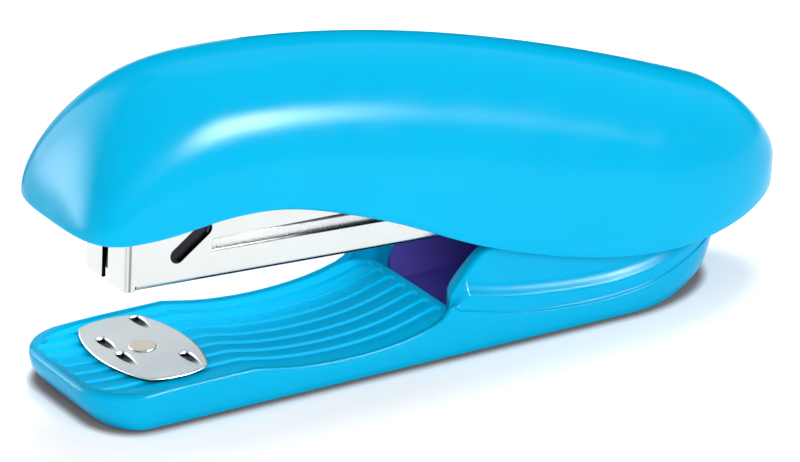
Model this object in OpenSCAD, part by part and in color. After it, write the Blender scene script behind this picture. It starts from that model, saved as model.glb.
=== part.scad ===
// Half-strip desk stapler. Lengths are in millimetres.
// X runs from the nose (-) to the tail (+), Y is across, Z is up, and Z = 0 is the table.
// Shapes are drawn with X = 0 at the anvil rivet; place() then moves the middle of the
// footprint to the origin.

/* [Cover] */
// Distance from the anvil rivet forward to the nose
nose_reach = 17.5; // [17:0.1:18]
// Distance from the anvil rivet back to the tail
tail_reach = 131; // [130:0.5:132]
// Height of the top of the cover above the table
crest_height = 60.3; // [59:0.1:62]
// Width of the cover at its widest, near the tail
cover_width = 38.8; // [38.6:0.2:40]
// Width of the cover just behind the nose
nose_width = 34.4; // [33:0.2:36]
// Wall thickness of the cover
cover_wall = 1.8; // [1.6:0.1:2]

/* [Base] */
// Width of the base at its foot
base_width = 35.8; // [35:0.1:36]
// Height of the rim round the paper pad
rim_height = 7.1; // [7:0.1:7.3]
// Number of grooves in the pad
groove_count = 7; // [3:2:7]
// Distance between neighbouring grooves
groove_pitch = 4.07; // [3.9:0.01:4.1]
// Height of the top of the anvil
anvil_top = 7.6; // [7.6:0.05:7.8]

/* [Magazine] */
// Outside width of the magazine channel
channel_width = 15.5; // [15.5:0.1:15.7]
// Height of the magazine channel
channel_height = 12.5; // [12:0.1:12.6]
// Angle of the magazine above level at rest
magazine_tilt = 2.75; // [2.5:0.05:3]
// Length of the loaded staple strip
strip_length = 50; // [20:1:50]

/* [Hinge] */
// Distance of the hinge pin behind the anvil rivet
hinge_x = 103; // [102.5:0.1:103.5]
// Height of the hinge pin above the table
hinge_z = 20; // [19.8:0.1:20.2]
// Radius of the hinge pin
pin_r = 2; // [1.8:0.1:2]
// Angle that the cover turns to drive a staple
stroke_angle = 3.78; // [3.7:0.01:3.85]

/* [Hidden] */

BLUE = [0.0, 0.72, 0.95];
STEEL = [0.80, 0.82, 0.84];
DARK_STEEL = [0.18, 0.18, 0.20];
INDIGO = [0.14, 0.10, 0.36];
RUBBER = [0.10, 0.10, 0.11];

EPS = 0.01;
RUNNING_FIT = 0.05;          // radial clearance of a turning or sliding fit
FAR = 80;                    // longer than anything that a cut has to pass

middle_x = (tail_reach - nose_reach) / 2;

// Base
shell_bottom = 0.4;          // the rubber sole stands this far proud of the shell
sole_top = 1.6;
floor_top = 2.8;             // floor of the well behind the pad
base_half = base_width / 2;
base_front = -nose_reach;
front_corner = 9;            // how far the front corners reach back
stern_start = 90;            // the sides are straight up to here
stern_len = 29;              // length of the elliptical stern at deck height
stern_foot_len = 22.2;       // and at the foot, where it is tucked in
front_tuck = 2.2;            // the foot of the front is tucked in by this much more
pad_end = 54.8;              // rear edge of the paper pad
pad_depth = 0.35;            // the pad lies this far below its rim
groove_depth = 1;
groove_width = 2.2;
groove_end = 52.3;
housing_top = 18.5;
well_half = 12.6;            // half width of the well between the housing walls
// Top edge of the base seen from the side: level by the anvil, a dip, then a rise
rim_points = [[13, rim_height], [22, rim_height - 1.6], [33, rim_height - 2.2],
              [44, rim_height - 1.3], [pad_end, 8.6]];
// The two ridges that run along each side of the housing
upper_ridge = [[50, 14.5], [56, 12.6], [68, 10.1], [85, 8.6], [96, 9.3], [106, 11.2], [119, 14.5]];
lower_ridge = [[50, 9.6], [55, 8.6], [67, 5.9], [80, 4.6], [92, 4.9], [104, 7], [119, 10.5]];
upper_step = 2.1;            // how far the housing is set in above the upper ridge
lower_step = 0.9;            // and above the lower ridge

// Hinge
ear_r = 4;
bracket_wall = 1.2;
frame_wall = 1;
side_gap = 0.3;              // clearance between the nested sides
channel_half = channel_width / 2;
frame_half = channel_half + side_gap + frame_wall;
bracket_half = frame_half + side_gap + bracket_wall;
pin_head_r = 2.6;
pin_head = 0.8;
screw_x = 94;
screw_y = 6;
bracket_floor = floor_top + 0.8;

// Anvil
anvil_thick = 0.75;
anvil_corner = [6.2, 13];    // corner of the plate
anvil_bulge = [2.8, 1.3];    // how far its sides bow out between the corners
rivet_r = 1.5;
pad_underside = rim_height - 2.4;

// Magazine, measured from the hinge pin: x forward is negative, z up
channel_wall = 0.8;
channel_front = -110.2;
channel_rear = 4.5;
channel_floor = -3.3;        // underside of the channel
channel_top = channel_floor + channel_height;
floor_level = channel_floor + channel_wall;
front_wall = 0.6;
slot_low = [-100.1, 2.1];    // centre of the lower end of the slanted slot
slot_len = 6.8;
slot_r = 1.37;
slot_angle = 38.5;
rail_front = channel_front + 1.85;
rail_rear = -6.2;
rail_half = 5.55;
rail_top = 3.35;
rail_wall = 0.8;
staple_half = 6.45;
staple_wire = [0.7, 0.5];    // width and thickness of the staple wire
crown_top = rail_top + 0.05 + staple_wire[1];
rod_r = 0.8;
seat_len = 7;
pusher_len = 12;
pusher_x = rail_front + strip_length + 0.15;
spring_start = pusher_x + 8.2;
spring_end = rail_rear - seat_len - 0.2;

// Cover frame and driver, measured from the hinge pin with the cover pressed right down
plate_z = channel_top + 1.2;
frame_front = -108.6;
blade_x = channel_front + front_wall + 0.25;
blade_thick = 0.6;
blade_half = 6.3;
post_x = [-85, -25];
post_len = [17.8, 13.2];
post_r = 3.4;
screw_r = 1.2;
screw_grip = 9;              // depth that a cover screw reaches into its post

// Cover loft
nose = [-nose_reach, 35.8];
crest = [12, crest_height];
shoulder = [116, 36];
tail = [tail_reach, 17.6];
nose_round = 8.6;            // length over which the nose closes in plan
nose_power = 3.4;
tail_round = 34;             // length over which the tail closes in plan
dome_power = 2.3;            // 2 is an ellipse, more is squarer
tuck = 0.96;                 // width at the lower edge over the width above it
// Lower edge of the cover seen from the side
edge_points = [[-18, 35.2], [-5, 34.6], [10, 36], [22, 34.9], [40, 28.9], [60, 20],
               [80, 13.9], [97, 11.5], [114, 12.6], [131, 15.8]];
dome_steps = 9;
skirt_steps = 3;

// ---- curves ---------------------------------------------------------------

function clamp01(v) = max(0, min(1, v));

function bezier(p, t) =
    pow(1 - t, 3) * p[0] + 3 * pow(1 - t, 2) * t * p[1] + 3 * (1 - t) * t * t * p[2] + t * t * t * p[3];

// Slope at point i of a smooth curve through the points
function slope(p, i) =
    let (a = p[max(i - 1, 0)], b = p[min(i + 1, len(p) - 1)]) (b[1] - a[1]) / (b[0] - a[0]);

// Height at x of a smooth curve through the points
function smooth_at(p, x) =
    let (inside = [for (j = [0:len(p) - 2]) if (p[j][0] <= x) j],
         i = len(inside) == 0 ? 0 : inside[len(inside) - 1],
         h = p[i + 1][0] - p[i][0],
         t = clamp01((x - p[i][0]) / h),
         t2 = t * t,
         t3 = t2 * t)
    (2 * t3 - 3 * t2 + 1) * p[i][1] + (t3 - 2 * t2 + t) * h * slope(p, i)
    + (3 * t2 - 2 * t3) * p[i + 1][1] + (t3 - t2) * h * slope(p, i + 1);

function smooth_line(p, from, to, step) = [for (x = [from:step:to]) [x, smooth_at(p, x)]];

// ---- placing --------------------------------------------------------------

module place() {
    translate([-middle_x, 0, 0]) children();
}

// Moves a shape drawn round the hinge pin to the pin, raised by an angle
module at_hinge(angle) {
    place() translate([hinge_x, 0, hinge_z]) rotate([0, angle, 0]) children();
}

module with_magazine() {
    at_hinge(magazine_tilt) children();
}

module with_cover() {
    at_hinge(magazine_tilt + stroke_angle) children();
}

// Extrudes a side view (x, z) across the stapler between two y values
module side_extrude(y0, y1) {
    translate([0, y1, 0]) rotate([90, 0, 0]) linear_extrude(y1 - y0) children();
}

// A closed wire spring along Z
module coil(mean_r, wire_r, height, turns, per_turn = 14, sides = 6) {
    rings = turns * per_turn;
    rise = (height - 2 * wire_r) / rings;
    function ring(i) =
        let (a = 360 * i / per_turn, z = wire_r + rise * i)
        [for (k = [0:sides - 1])
            let (b = 360 * k / sides, r = mean_r + wire_r * cos(b))
            [r * cos(a), r * sin(a), z + wire_r * sin(b)]];
    points = [for (i = [0:rings]) each ring(i)];
    walls = [for (i = [0:rings - 1], k = [0:sides - 1])
        let (a = i * sides + k, b = i * sides + (k + 1) % sides)
        each [[a, b, b + sides], [a, b + sides, a + sides]]];
    foot = [for (k = [0:sides - 1]) sides - 1 - k];
    head = [for (k = [0:sides - 1]) rings * sides + k];
    polyhedron(points, concat([foot], walls, [head]), convexity = 10);
}

// ---- base -----------------------------------------------------------------

// Outline of the base seen from above, set in by an amount
function base_outline(inset, stern, tuck) =
    let (half = base_half - inset,
         x0 = base_front + inset + tuck,
         xc = x0 + front_corner,
         xs = stern_start,
         a = stern - inset,
         side = concat(
             [for (t = [0:10:90]) [xc - front_corner * pow(sin(t), 0.8),
                                   half - (half - 8) * pow(1 - cos(t), 0.8)]],
             [[x0, 0]]),
         rear = [for (t = [0:7.5:90]) [xs + a * sin(t), half * cos(t)]])
    concat([for (i = [len(side) - 1:-1:0]) side[i]], rear,
           [for (i = [len(rear) - 2:-1:0]) [rear[i][0], -rear[i][1]]],
           [for (i = [0:len(side) - 2]) [side[i][0], -side[i][1]]]);

module base_slab(inset, z0, z1, stern = stern_len, tuck = 0) {
    translate([0, 0, z0]) linear_extrude(z1 - z0) polygon(base_outline(inset, stern, tuck));
}

// Everything above the pad's surface, lowered by depth, up to the pad's rear edge
module above_pad(depth, rear) {
    line = smooth_line(rim_points, 13, rear, 3);
    side_extrude(-FAR, FAR)
        polygon(concat([[-FAR, rim_height - depth]],
                       [for (p = line) p - [0, depth]],
                       [[rear, smooth_at(rim_points, rear) - depth], [rear, FAR], [-FAR, FAR]]));
}

// Side view of the base
module base_profile() {
    polygon(concat([[-FAR, 0], [-FAR, rim_height]],
                   smooth_line(rim_points, 13, pad_end - 1, 3),
                   [[pad_end, 8.6], [56, 12.5], [58.5, 16], [61.5, housing_top],
                    [104, housing_top], [112, 17], [120, 12.5], [120, 0]]));
}

module terrace(ridge, step) {
    intersection() {
        side_extrude(-FAR, FAR)
            polygon(concat(smooth_line(ridge, 50, 119, 4), [[130, smooth_at(ridge, 119)], [130, 40], [50, 40]]));
        difference() {
            base_slab(-4, 0, 40);
            base_slab(step, -1, 41);
        }
    }
}

module well() {
    intersection() {
        base_slab(upper_step + 1.2, floor_top, FAR);
        linear_extrude(FAR)
            polygon([[pad_end, -15], [60, -well_half], [111, -well_half],
                     [111, well_half], [60, well_half], [pad_end, 15]]);
    }
}

module grooves() {
    intersection() {
        above_pad(pad_depth + groove_depth, groove_end);
        base_slab(2.4, 0, FAR);
        union() {
            for (i = [0:groove_count - 1]) {
                translate([-FAR, (i - (groove_count - 1) / 2) * groove_pitch - groove_width / 2, 0])
                    cube([2 * FAR, groove_width, FAR]);
            }
        }
    }
}

module base_shell() {
    color(BLUE) place() difference() {
        intersection() {
            hull() {
                base_slab(0.6, shell_bottom, shell_bottom + EPS, stern_foot_len, front_tuck);
                base_slab(0, 3.5, 3.5 + EPS, stern_foot_len + 4, 0.5);
                base_slab(0.5, 9, housing_top + 1);
            }
            side_extrude(-FAR, FAR) base_profile();
        }
        terrace(upper_ridge, upper_step);
        terrace(lower_ridge, lower_step);
        intersection() {
            above_pad(pad_depth, pad_end - 1);
            base_slab(1.5, 0, FAR);
        }
        grooves();
        well();
        // recess for the sole, and the hollow under the pad
        base_slab(2.2, 0, sole_top, stern_foot_len, front_tuck);
        intersection() {
            base_slab(2.6, 0, pad_underside, stern_len, front_tuck);
            side_extrude(-FAR, FAR)
                polygon(concat([[-FAR, 0], [-FAR, pad_underside]],
                               [for (p = smooth_line(rim_points, 13, 49, 4)) p - [0, 2.4]],
                               [[52.5, 5.4], [52.5, 0]]));
        }
        cylinder(h = 20, r = rivet_r + RUNNING_FIT, $fn = 48);
        for (y = [-screw_y, screw_y]) {
            translate([screw_x, y, 0]) cylinder(h = 10, r = screw_r, $fn = 32);
        }
    }
}

module rubber_sole() {
    color(RUBBER) place() base_slab(2.3, 0, sole_top, stern_foot_len, front_tuck);
}

module base_liner() {
    wall = 1;
    start = 57.5;
    end = 98;
    color(INDIGO) place() difference() {
        union() {
            translate([start, -well_half + EPS, floor_top])
                cube([end - start, 2 * (well_half - EPS), 14]);
            translate([80, 0, floor_top]) cylinder(h = 2, r = 2.6, $fn = 32);
        }
        difference() {
            translate([start - 1, -well_half + wall, bracket_floor])
                cube([end - start + 2, 2 * (well_half - wall), 20]);
            translate([80, 0, 0]) cylinder(h = 8, r = 2.6, $fn = 32);
        }
        // the walls fall away at the front
        side_extrude(-FAR, FAR) polygon([[start - 1, 6], [start + 6, 18], [start - 1, 18]]);
        for (y = [-screw_y, screw_y]) {
            translate([screw_x, y, 0]) cylinder(h = 10, r = screw_r + 0.1, $fn = 32);
        }
    }
}

// Side view of one ear, as a plate with a round top at the pin
module ear(radius, foot) {
    circle(r = radius, $fn = 64);
    polygon(foot);
}

module hinge_bracket() {
    floor_z = bracket_floor - hinge_z;
    plate = bracket_wall;
    front = 88 - hinge_x;
    color(STEEL) place() translate([hinge_x, 0, hinge_z]) difference() {
        union() {
            for (y = [-bracket_half, bracket_half - bracket_wall]) {
                side_extrude(y, y + bracket_wall)
                    ear(ear_r, [[-11, floor_z], [ear_r, floor_z], [ear_r, 0], [-ear_r, 0]]);
            }
            translate([front, -bracket_half, floor_z])
                cube([ear_r - front, 2 * bracket_half, plate]);
        }
        rotate([90, 0, 0]) cylinder(h = FAR, r = pin_r, center = true, $fn = 64);
        for (y = [-screw_y, screw_y]) {
            translate([screw_x - hinge_x, y, floor_z - 1]) cylinder(h = 5, r = screw_r + 0.1, $fn = 32);
        }
    }
}

module bracket_screws() {
    head_z = bracket_floor + bracket_wall;
    color(STEEL) place() for (y = [-screw_y, screw_y]) {
        translate([screw_x, y, 0]) difference() {
            union() {
                translate([0, 0, sole_top + 0.1]) cylinder(h = head_z - sole_top, r = screw_r, $fn = 32);
                translate([0, 0, head_z]) cylinder(h = 1.5, r = 2.4, $fn = 32);
            }
            cross_recess(head_z + 1.5);
        }
    }
}

// Cross-shaped drive recess cut down from a screw's top
module cross_recess(top) {
    for (a = [0, 90]) {
        rotate([0, 0, a]) translate([-1.3, -0.25, top - 0.8]) cube([2.6, 0.5, 1]);
    }
}

module hinge_pin() {
    color(STEEL) place() translate([hinge_x, 0, hinge_z]) rotate([90, 0, 0]) {
        translate([0, 0, -bracket_half - 0.9])
            cylinder(h = 2 * bracket_half + 0.9, r = pin_r, $fn = 64);
        translate([0, 0, bracket_half]) cylinder(h = pin_head, r = pin_head_r, $fn = 64);
    }
}

// Spring clip on the far end of the pin, open on one side
module pin_clip() {
    color(DARK_STEEL) place() translate([hinge_x, bracket_half + 0.55, hinge_z]) rotate([90, 0, 0]) difference() {
        cylinder(h = 0.5, r = pin_head_r, $fn = 48);
        translate([0, 0, -1]) cylinder(h = 3, r = pin_r, $fn = 48);
        translate([-1.5, 0, -1]) cube([3, 5, 3]);
    }
}

module lift_spring() {
    foot_z = bracket_floor + 0.1;
    head_z = hinge_z + channel_floor + sin(magazine_tilt) * (hinge_x - 80) - 0.3;
    color(STEEL) place() translate([80, 0, foot_z]) coil(3.5, 0.45, head_z - foot_z, 6);
}

// ---- anvil ----------------------------------------------------------------

// One side of the plate: a circle that bows out from the corners
module anvil_side(half_chord, reach, bulge) {
    radius = (half_chord * half_chord + bulge * bulge) / (2 * bulge);
    translate([reach - radius, 0]) circle(r = radius, $fn = 180);
}

module anvil_outline() {
    long_side = anvil_corner[0] + anvil_bulge[0];
    short_side = anvil_corner[1] + anvil_bulge[1];
    intersection() {
        anvil_side(anvil_corner[1], long_side, anvil_bulge[0]);
        rotate(180) anvil_side(anvil_corner[1], long_side, anvil_bulge[0]);
        rotate(90) anvil_side(anvil_corner[0], short_side, anvil_bulge[1]);
        rotate(-90) anvil_side(anvil_corner[0], short_side, anvil_bulge[1]);
    }
}

// Shallow groove that bends a staple leg over: long along Y, round along its length
module clinch_groove(x, y) {
    half = 3.4;
    depth = 0.4;
    radius = (half * half + depth * depth) / (2 * depth);
    translate([x, y, anvil_top - depth + radius]) rotate([0, 90, 0])
        cylinder(h = 1.7, r = radius, center = true, $fn = 120);
}

module anvil_plate() {
    color(STEEL) place() difference() {
        translate([0, 0, anvil_top - anvil_thick]) linear_extrude(anvil_thick) anvil_outline();
        for (side = [-1, 1]) {
            clinch_groove(-4.8, side * 3.7);
            clinch_groove(4.9, side * 9.2);
        }
        cylinder(h = 20, r = rivet_r, $fn = 48);
    }
}

module anvil_rivet() {
    color([0.78, 0.74, 0.66]) place() {
        translate([0, 0, 2.1]) cylinder(h = anvil_top - 2.1, r = rivet_r, $fn = 48);
        translate([0, 0, anvil_top]) cylinder(h = 0.25, r1 = 2.5, r2 = 2.1, $fn = 48);
    }
}

// Dished spring washer that pulls the plate down onto the pad
module anvil_spring() {
    color(STEEL) place() rotate_extrude($fn = 64)
        polygon([[rivet_r + 0.1, 2.75], [4.6, pad_underside - 0.5], [4.6, pad_underside - 0.15],
                 [4.3, pad_underside - 0.15], [rivet_r + 0.1, 3.15]]);
}

module anvil_retainer() {
    color(STEEL) place() translate([0, 0, 2.1]) difference() {
        cylinder(h = 0.6, r = 3.2, $fn = 48);
        translate([0, 0, -1]) cylinder(h = 3, r = rivet_r, $fn = 48);
    }
}

// ---- magazine -------------------------------------------------------------

module magazine_channel() {
    inner = channel_half - channel_wall;
    color(STEEL) with_magazine() difference() {
        translate([channel_front, -channel_half, channel_floor])
            cube([channel_rear - channel_front, channel_width, channel_height]);
        // inside, open at the top and the rear
        translate([channel_front + front_wall, -inner, floor_level])
            cube([FAR * 2, 2 * inner, FAR]);
        // gap that the staple leaves through, behind the front wall
        translate([channel_front + front_wall, -inner, channel_floor - 1])
            cube([rail_front - channel_front - front_wall, 2 * inner, 5]);
        // slit down the front
        translate([channel_front - 1, -1, channel_floor - 1]) cube([3, 2, FAR]);
        // the floor stops short of the hinge spring
        translate([rail_rear, -inner, channel_floor - 1]) cube([FAR, 2 * inner, 5]);
        // slanted relief slot and long sight window in each side
        side_extrude(-FAR, FAR) translate(slot_low) rotate(slot_angle) {
            circle(r = slot_r, $fn = 32);
            translate([0, -slot_r]) square([slot_len, 2 * slot_r]);
            translate([slot_len, 0]) circle(r = slot_r, $fn = 32);
        }
        side_extrude(-FAR, FAR) polygon([[-93.3, 1.9], [-48, 1.9], [-48, 5.1], [-93.3, 4.1]]);
        // the top corners at the rear are cut away
        side_extrude(-FAR, FAR) polygon([[-6, channel_top + 1], [FAR, channel_top + 1], [FAR, 4], [4, 4.5]]);
        for (z = [-1.7, 1.7]) {
            translate([-10, 0, z]) rotate([90, 0, 0]) cylinder(h = FAR, r = 0.6, center = true, $fn = 32);
        }
        rotate([90, 0, 0]) cylinder(h = FAR, r = pin_r + RUNNING_FIT, center = true, $fn = 64);
    }
}

module staple_rail() {
    inner = rail_half - rail_wall;
    slot_half = 1.2;
    color(STEEL) with_magazine() {
        difference() {
            translate([rail_front, -rail_half, floor_level])
                cube([rail_rear - rail_front, 2 * rail_half, rail_top - floor_level]);
            translate([rail_front - 1, -inner, floor_level - 1])
                cube([FAR * 2, 2 * inner, rail_top - rail_wall - floor_level + 1]);
            // slot that the pusher's web runs in
            translate([-63, -slot_half, 0]) cube([52, 2 * slot_half, FAR]);
            for (z = [-1.7, 1.7]) {
                translate([-10, 0, z]) rotate([90, 0, 0]) cylinder(h = FAR, r = 0.6, center = true, $fn = 32);
            }
        }
        // tongue that closes the front of the rail at its foot
        translate([rail_front, -inner - EPS, floor_level]) cube([0.8, 2 * inner + 2 * EPS, 2.4]);
    }
}

// Thin blued liner inside the nose of the channel, which guides the driver
module nose_liner() {
    color(DARK_STEEL) with_magazine() for (side = [-1, 1]) {
        translate([channel_front + front_wall + 0.1, side * 6.75 - 0.15, floor_level])
            cube([15.6, 0.3, channel_height - channel_wall - 0.5]);
    }
}

module staple_strip() {
    color(STEEL) with_magazine() difference() {
        translate([rail_front, -staple_half, floor_level + 0.1])
            cube([strip_length, 2 * staple_half, crown_top - floor_level - 0.1]);
        translate([rail_front - 1, -staple_half + staple_wire[0], floor_level - 1])
            cube([FAR, 2 * (staple_half - staple_wire[0]), crown_top - staple_wire[1] - floor_level + 1]);
    }
}

module guide_rod() {
    color(STEEL) with_magazine() rotate([0, 90, 0]) {
        translate([0, 0, pusher_x - 4]) cylinder(h = rail_rear - pusher_x + 3, r = rod_r, $fn = 32);
        translate([0, 0, pusher_x - 4]) cylinder(h = 1, r = 1.5, $fn = 32);
    }
}

module rod_seat() {
    color(DARK_STEEL) with_magazine() difference() {
        translate([rail_rear - seat_len, -4.7, floor_level])
            cube([seat_len, 9.4, rail_top - rail_wall - floor_level]);
        rotate([0, 90, 0]) cylinder(h = FAR * 3, r = rod_r, center = true, $fn = 32);
        for (z = [-1.7, 1.7]) {
            translate([-10, 0, z]) rotate([90, 0, 0]) cylinder(h = FAR, r = 0.6, center = true, $fn = 32);
        }
    }
}

module rail_rivets() {
    color(STEEL) with_magazine() for (z = [-1.7, 1.7]) {
        translate([-10, 0, z]) rotate([90, 0, 0])
            cylinder(h = channel_width, r = 0.6, center = true, $fn = 32);
    }
}

module pusher() {
    top = 7.4;
    over = rail_top + 0.15;
    leg_in = rail_half + 0.15;
    block_len = 8;
    color(DARK_STEEL) with_magazine() difference() {
        translate([pusher_x, -staple_half, floor_level + 0.3])
            cube([pusher_len, 2 * staple_half, top - floor_level - 0.3]);
        difference() {
            translate([pusher_x - 1, -leg_in, floor_level - 1])
                cube([pusher_len + 2, 2 * leg_in, over - floor_level + 1]);
            // web through the rail's slot, and the block that runs on the rod
            translate([pusher_x, -1, 1]) cube([block_len, 2, 4]);
            translate([pusher_x, -4.3, -1.9]) cube([block_len, 8.6, 4.2]);
        }
        // finger hollow in the top
        translate([pusher_x + 7, 0, top + 6.8]) rotate([90, 0, 0])
            cylinder(h = FAR, r = 8, center = true, $fn = 90);
        rotate([0, 90, 0]) cylinder(h = FAR * 3, r = rod_r + RUNNING_FIT, center = true, $fn = 32);
    }
}

module pusher_spring() {
    color(STEEL) with_magazine() translate([spring_start, 0, 0]) rotate([0, 90, 0])
        coil(1.9, 0.25, spring_end - spring_start, 15, 12, 5);
}

// ---- cover ----------------------------------------------------------------

// Points along the ridge line of the cover, from nose to tail
rise = 14.5;
spine_parts = [
    [nose, nose + [rise / 4, rise], crest - [20, 0], crest],
    [crest, crest + [40, 0], shoulder - [25, -9.7], shoulder],
    [shoulder, shoulder + [6.7, -2.6], tail + [0, 7.2], tail]];
spine = concat(
    [for (k = [0:11]) bezier(spine_parts[0], pow(k / 12, 1.3))],
    [for (k = [0:15]) bezier(spine_parts[1], k / 16)],
    [for (k = [0:10]) bezier(spine_parts[2], 1 - pow(1 - k / 10, 1.3))]);

// Half width of the cover in plan; the ends close as a superellipse and an ellipse
function cover_half(x) =
    let (full = nose_width / 2 + (cover_width - nose_width) / 2 * clamp01((x + 5) / 95),
         n = clamp01((nose_round - nose_reach - x) / nose_round - 0.006),
         t = clamp01((x - tail_reach + tail_round) / tail_round - 0.0015))
    full * pow(1 - pow(n, nose_power), 1 / nose_power) * sqrt(1 - t * t);

// Height above the lower edge at which the cover is widest
function belly(x) = 0.4 + 4 * clamp01((x - 12) / 78);

// Half of a cross section, from the top centre to the lower edge; wall sets it inwards
function half_section(p, wall) =
    let (shrink = (nose_reach + tail_reach - 2 * wall) / (nose_reach + tail_reach),
         x = wall == 0 ? p[0] : middle_x + (p[0] - middle_x) * shrink,
         edge = min(smooth_at(edge_points, p[0]), p[1] - 0.5),
         wide = edge + min(belly(p[0]), (p[1] - edge) / 2),
         top = max(p[1] - wall, wide + 0.05),
         half = max(cover_half(p[0]) - wall, 1.6 - wall / 3),
         dome = [for (k = [0:dome_steps])
             let (a = 90 * k / dome_steps)
             [x, half * pow(sin(a), 2 / dome_power), wide + (top - wide) * pow(cos(a), 2 / dome_power)]],
         skirt = [for (k = [1:skirt_steps])
             let (s = k / skirt_steps)
             [x, half * (1 - (1 - tuck) * s * s), wide + (edge - wide) * s]])
    concat(dome, skirt);

// A whole section, from the lower edge at -Y over the top to the lower edge at +Y
function section(p, wall) =
    let (h = half_section(p, wall), n = len(h))
    concat([for (i = [n - 1:-1:1]) [h[i][0], -h[i][1], h[i][2]]], h);

module cover_skin() {
    stations = len(spine);
    row = 2 * (dome_steps + skirt_steps) + 1;
    outer = [for (p = spine) each section(p, 0)];
    inner = [for (p = spine) each section(p, cover_wall)];
    base = stations * row;
    function quad(a, b, c, d) = [[a, b, c], [a, c, d]];
    skin = [for (i = [0:stations - 2], j = [0:row - 2])
        let (a = i * row + j)
        each concat(quad(a, a + row, a + row + 1, a + 1),
                    quad(base + a, base + a + 1, base + a + row + 1, base + a + row))];
    rims = [for (i = [0:stations - 2])
        let (a = i * row, b = a + row - 1)
        each concat(quad(a, base + a, base + a + row, a + row),
                    quad(b, b + row, base + b + row, base + b))];
    // end caps are fans, joined along the bottom by one more strip
    last = base - row;
    caps = [for (j = [1:row - 2])
        each [[0, j, j + 1], [base, base + j + 1, base + j],
              [last, last + j + 1, last + j], [base + last, base + last + j, base + last + j + 1]]];
    ends = concat(quad(0, row - 1, base + row - 1, base),
                  quad(last, base + last, base + last + row - 1, last + row - 1));
    polyhedron(concat(outer, inner), concat(skin, rims, caps, ends), convexity = 10);
}

module top_cover() {
    color(BLUE) place() cover_skin();
}

// Posts under the roof of the cover, which the frame is screwed to
module screw_posts() {
    color(BLUE) with_cover() for (i = [0, 1]) {
        translate([post_x[i], 0, plate_z + frame_wall]) difference() {
            cylinder(h = post_len[i], r = post_r, $fn = 48);
            translate([0, 0, -1]) cylinder(h = screw_grip + 2, r = screw_r, $fn = 32);
        }
    }
}

// Side view of the frame's side walls
module frame_side() {
    ear(ear_r, [[frame_front + 3, plate_z + frame_wall], [frame_front + 3, 7], [-40, 5], [-10, 1],
                [-3, -2.4], [3.5, 2], [-4, plate_z + frame_wall]]);
}

module cover_frame() {
    color(STEEL) with_cover() difference() {
        union() {
            for (y = [-frame_half, frame_half - frame_wall]) {
                side_extrude(y, y + frame_wall) frame_side();
            }
            translate([frame_front, -frame_half, plate_z])
                cube([-4 - frame_front, 2 * frame_half, frame_wall]);
        }
        rotate([90, 0, 0]) cylinder(h = FAR, r = pin_r + RUNNING_FIT, center = true, $fn = 64);
        for (x = post_x) {
            translate([x, 0, 0]) cylinder(h = FAR, r = screw_r + 0.1, $fn = 32);
        }
        for (y = [-3.5, 3.5]) {
            translate([-104.5, y, 0]) cylinder(h = FAR, r = 1, $fn = 32);
        }
        // a row of lightening holes
        for (x = [-70, -55, -40]) {
            translate([x, 0, 0]) cylinder(h = FAR, r = 3, $fn = 48);
        }
    }
}

module driver_blade() {
    color(DARK_STEEL) with_cover() difference() {
        union() {
            translate([blade_x, -blade_half, channel_floor + 0.3])
                cube([blade_thick, 2 * blade_half, plate_z - channel_floor - 0.3]);
            translate([blade_x, -blade_half, plate_z - blade_thick])
                cube([7.5, 2 * blade_half, blade_thick]);
        }
        for (y = [-3.5, 3.5]) {
            translate([-104.5, y, 0]) cylinder(h = FAR, r = 1, $fn = 32);
        }
    }
}

module blade_rivets() {
    color(STEEL) with_cover() for (y = [-3.5, 3.5]) {
        translate([-104.5, y, plate_z - blade_thick]) {
            cylinder(h = blade_thick + frame_wall, r = 1, $fn = 32);
            translate([0, 0, blade_thick + frame_wall]) cylinder(h = 0.6, r1 = 1.8, r2 = 1.2, $fn = 32);
        }
    }
}

module cover_screws() {
    head = 1.5;
    color(STEEL) with_cover() for (x = post_x) {
        translate([x, 0, plate_z - head]) difference() {
            union() {
                cylinder(h = head, r = 2.5, $fn = 32);
                cylinder(h = head + frame_wall + screw_grip, r = screw_r, $fn = 32);
            }
            mirror([0, 0, 1]) cross_recess(0);
        }
    }
}

// Double torsion spring round the pin, which lifts the cover off the magazine
module press_spring() {
    coil_len = 9;
    wire = 0.45;
    mean_r = pin_r + 0.15 + wire;
    lower_arm_angle = 12;        // above level, seen from the side
    upper_arm_angle = 24;
    color(STEEL) with_magazine() {
        translate([0, -coil_len / 2, 0]) rotate([-90, 0, 0]) coil(mean_r, wire, coil_len, 6, 16, 8);
        // lower arm on the rear edge of the rail, upper arm under the frame
        translate([0, -coil_len / 2 + wire, 0]) rotate([0, lower_arm_angle - 90, 0])
            translate([mean_r, 0, 0]) cylinder(h = 9, r = wire, $fn = 16);
        translate([0, coil_len / 2 - wire, 0]) rotate([0, upper_arm_angle - 90, 0])
            translate([mean_r, 0, 0]) cylinder(h = 20, r = wire, $fn = 16);
    }
}

// ---- nodes ----------------------------------------------------------------

base_shell();
rubber_sole();
base_liner();
hinge_bracket();
bracket_screws();
hinge_pin();
pin_clip();
lift_spring();
anvil_plate();
anvil_rivet();
anvil_spring();
anvil_retainer();
magazine_channel();
staple_rail();
nose_liner();
staple_strip();
guide_rod();
rod_seat();
rail_rivets();
pusher();
pusher_spring();
top_cover();
screw_posts();
cover_frame();
driver_blade();
blade_rivets();
cover_screws();
press_spring();
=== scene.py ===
import math

import bmesh
import bpy
from mathutils import Matrix, Vector


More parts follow.
